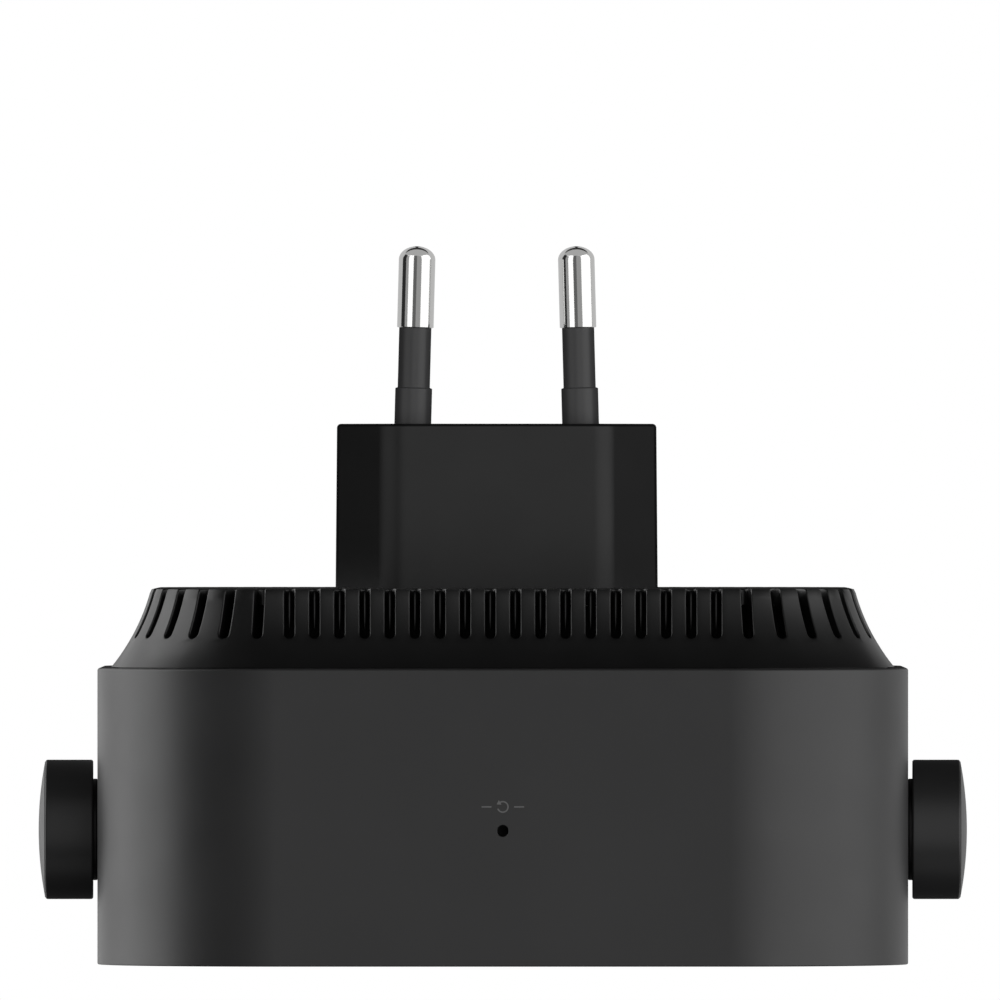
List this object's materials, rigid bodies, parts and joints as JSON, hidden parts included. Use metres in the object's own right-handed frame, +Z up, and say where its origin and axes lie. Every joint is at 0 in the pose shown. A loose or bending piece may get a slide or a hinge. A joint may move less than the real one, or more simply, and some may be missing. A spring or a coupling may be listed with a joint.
{
  "type": "wifi range extender",
  "caption": "Square plug-in wifi range extender with a flared, slotted back, a two-pin mains plug and two hinged paddle antennas.",
  "frame": {"origin": "centre of the plug's engagement face, between the two pins", "axes": "+Y along the pins into the wall socket, +Z up, +X to the right for someone facing the front cover"},
  "size_m": [0.1032, 0.0798, 0.1142],
  "materials": {
    "band_plastic": "fine satin black moulding",
    "shell_plastic": "satin black moulding",
    "antenna_plastic": "satin black moulding",
    "sleeve_plastic": "smooth black insulating sleeve",
    "pin_metal": "bright nickel plate",
    "contact_metal": "stamped copper alloy",
    "steel": "tinned or plain steel",
    "aluminium": "rolled sheet",
    "circuit_board": "green solder mask",
    "component_black": "moulded component case",
    "component_pale": "pale moulded or sheet insulation",
    "clear_plastic": "milky clear light guide",
    "soft_grey": "soft grey silicone or cable jacket"
  },
  "bodies": {
    "root": {"board_connector": "component_pale", "board_screw_1": "steel", "board_screw_2": "steel", "board_screw_3": "steel", "board_screw_4": "steel", "bulk_capacitor_a": "component_black", "bulk_capacitor_b": "component_black", "coax_lead_left": "soft_grey", "coax_lead_right": "soft_grey", "coax_plug_left": "pin_metal", "coax_plug_right": "pin_metal", "front_cover": "band_plastic", "fuse_resistor": "component_pale", "heat_spreader": "aluminium", "hinge_washer_left": "steel", "hinge_washer_right": "steel", "housing_band": "band_plastic", "insulating_sheet": "component_pale", "light_pipe": "clear_plastic", "main_board": "circuit_board", "memory_chip": "component_black", "output_capacitor": "component_black", "pin_contact_left": "contact_metal", "pin_contact_right": "contact_metal", "pin_sleeve_left": "sleeve_plastic", "pin_sleeve_right": "sleeve_plastic", "plug_block": "shell_plastic", "plug_pin_left": "pin_metal", "plug_pin_right": "pin_metal", "power_board": "circuit_board", "rear_vent_shell": "shell_plastic", "reset_switch": "component_black", "rf_shield": "steel", "soc_chip": "component_black", "status_led": "clear_plastic", "thermal_pad": "soft_grey", "transformer": "component_black", "vent_liner": "shell_plastic"},
    "left_antenna": {"antenna_arm_left": "antenna_plastic", "antenna_radiator_left": "circuit_board", "antenna_shell_left": "antenna_plastic", "hinge_clip_left": "steel"},
    "right_antenna": {"antenna_arm_right": "antenna_plastic", "antenna_radiator_right": "circuit_board", "antenna_shell_right": "antenna_plastic", "hinge_clip_right": "steel"},
    "reset_button": {"reset_plunger": "shell_plastic"}
  },
  "joints": [
    {"name": "left_antenna_hinge", "type": "hinge", "parent": "root", "child": "left_antenna", "pos_m": [-0.04818, -0.04518, -0.015], "axis": [1, 0, 0], "range_deg": [0, 180]},
    {"name": "right_antenna_hinge", "type": "hinge", "parent": "root", "child": "right_antenna", "pos_m": [0.04682, -0.04518, -0.015], "axis": [1, 0, 0], "range_deg": [0, 180]},
    {"name": "reset_press", "type": "slide", "parent": "root", "child": "reset_button", "axis": [0, 0, 1], "range_m": [0, 0.0003], "stiffness_N_per_m": 800}
  ]
}
